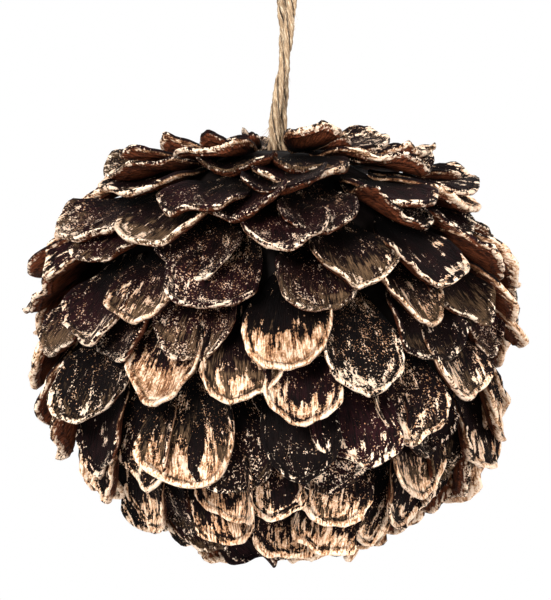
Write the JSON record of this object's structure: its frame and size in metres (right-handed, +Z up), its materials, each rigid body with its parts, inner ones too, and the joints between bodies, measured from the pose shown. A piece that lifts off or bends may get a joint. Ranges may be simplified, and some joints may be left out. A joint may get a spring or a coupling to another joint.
{
  "type": "pine cone ornament",
  "caption": "Hanging ball ornament clad in overlapping rows of real pine cone scales brushed with gold, on a doubled jute twine loop.",
  "frame": {"origin": "hanging point, on the underside of the top of the twine's loop; the ball's centre lies 125 mm below it", "axes": "+Z up along the hanging line, -Y towards the front of the ornament, +X to the right seen from the front"},
  "size_m": [0.1301, 0.1303, 0.1902],
  "materials": {
    "scale": "dry pine cone scale with dry-brushed gold paint",
    "foam": "polystyrene foam painted dark brown",
    "glue": "set hot glue",
    "twine": "natural jute twine"
  },
  "bodies": {
    "root": {"foam_ball": "foam", "glue_plug": "glue", "hanging_twine": "twine", "crown_scales": "scale", "scale_row_01": "scale", "scale_row_02": "scale", "scale_row_03": "scale", "scale_row_04": "scale", "scale_row_05": "scale", "scale_row_06": "scale", "scale_row_07": "scale", "scale_row_08": "scale", "scale_row_09": "scale", "scale_row_10": "scale", "scale_row_11": "scale", "scale_row_12": "scale", "scale_row_13": "scale", "closing_scales": "scale"}
  },
  "joints": []
}
